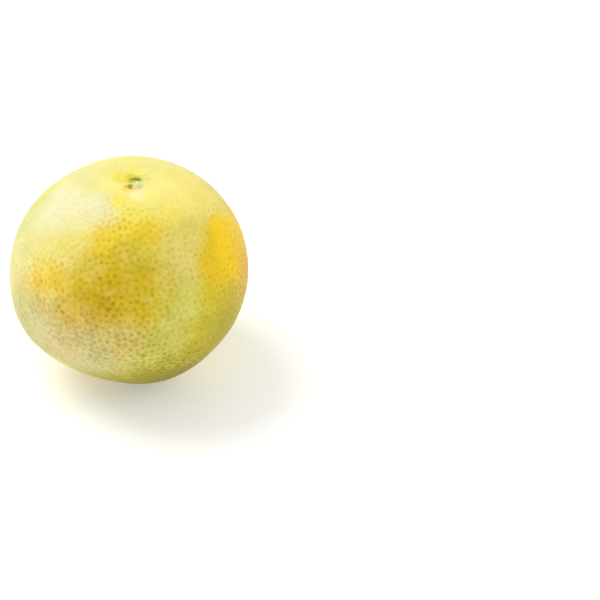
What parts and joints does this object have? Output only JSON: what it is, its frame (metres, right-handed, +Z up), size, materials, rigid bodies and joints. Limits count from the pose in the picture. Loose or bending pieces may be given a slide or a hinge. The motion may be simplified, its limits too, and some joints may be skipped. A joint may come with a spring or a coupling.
{
  "type": "lima orange",
  "caption": "Whole lima orange, a pale-yellow mild sweet orange, slightly flattened, with its small calyx button in the stem end, resting on a flat spot.",
  "frame": {"origin": "bottom centre of the fruit's box, on the surface that the fruit rests on", "axes": "+Z up through the stem end, -Y towards the side seen in the picture, +X to that view's right"},
  "size_m": [0.0678, 0.068, 0.0617],
  "materials": {
    "rind": "waxy, finely pitted by oil glands",
    "calyx": "dry, matt, woody in the middle"
  },
  "bodies": {
    "root": {"fruit": "rind", "calyx": "calyx"}
  },
  "joints": []
}
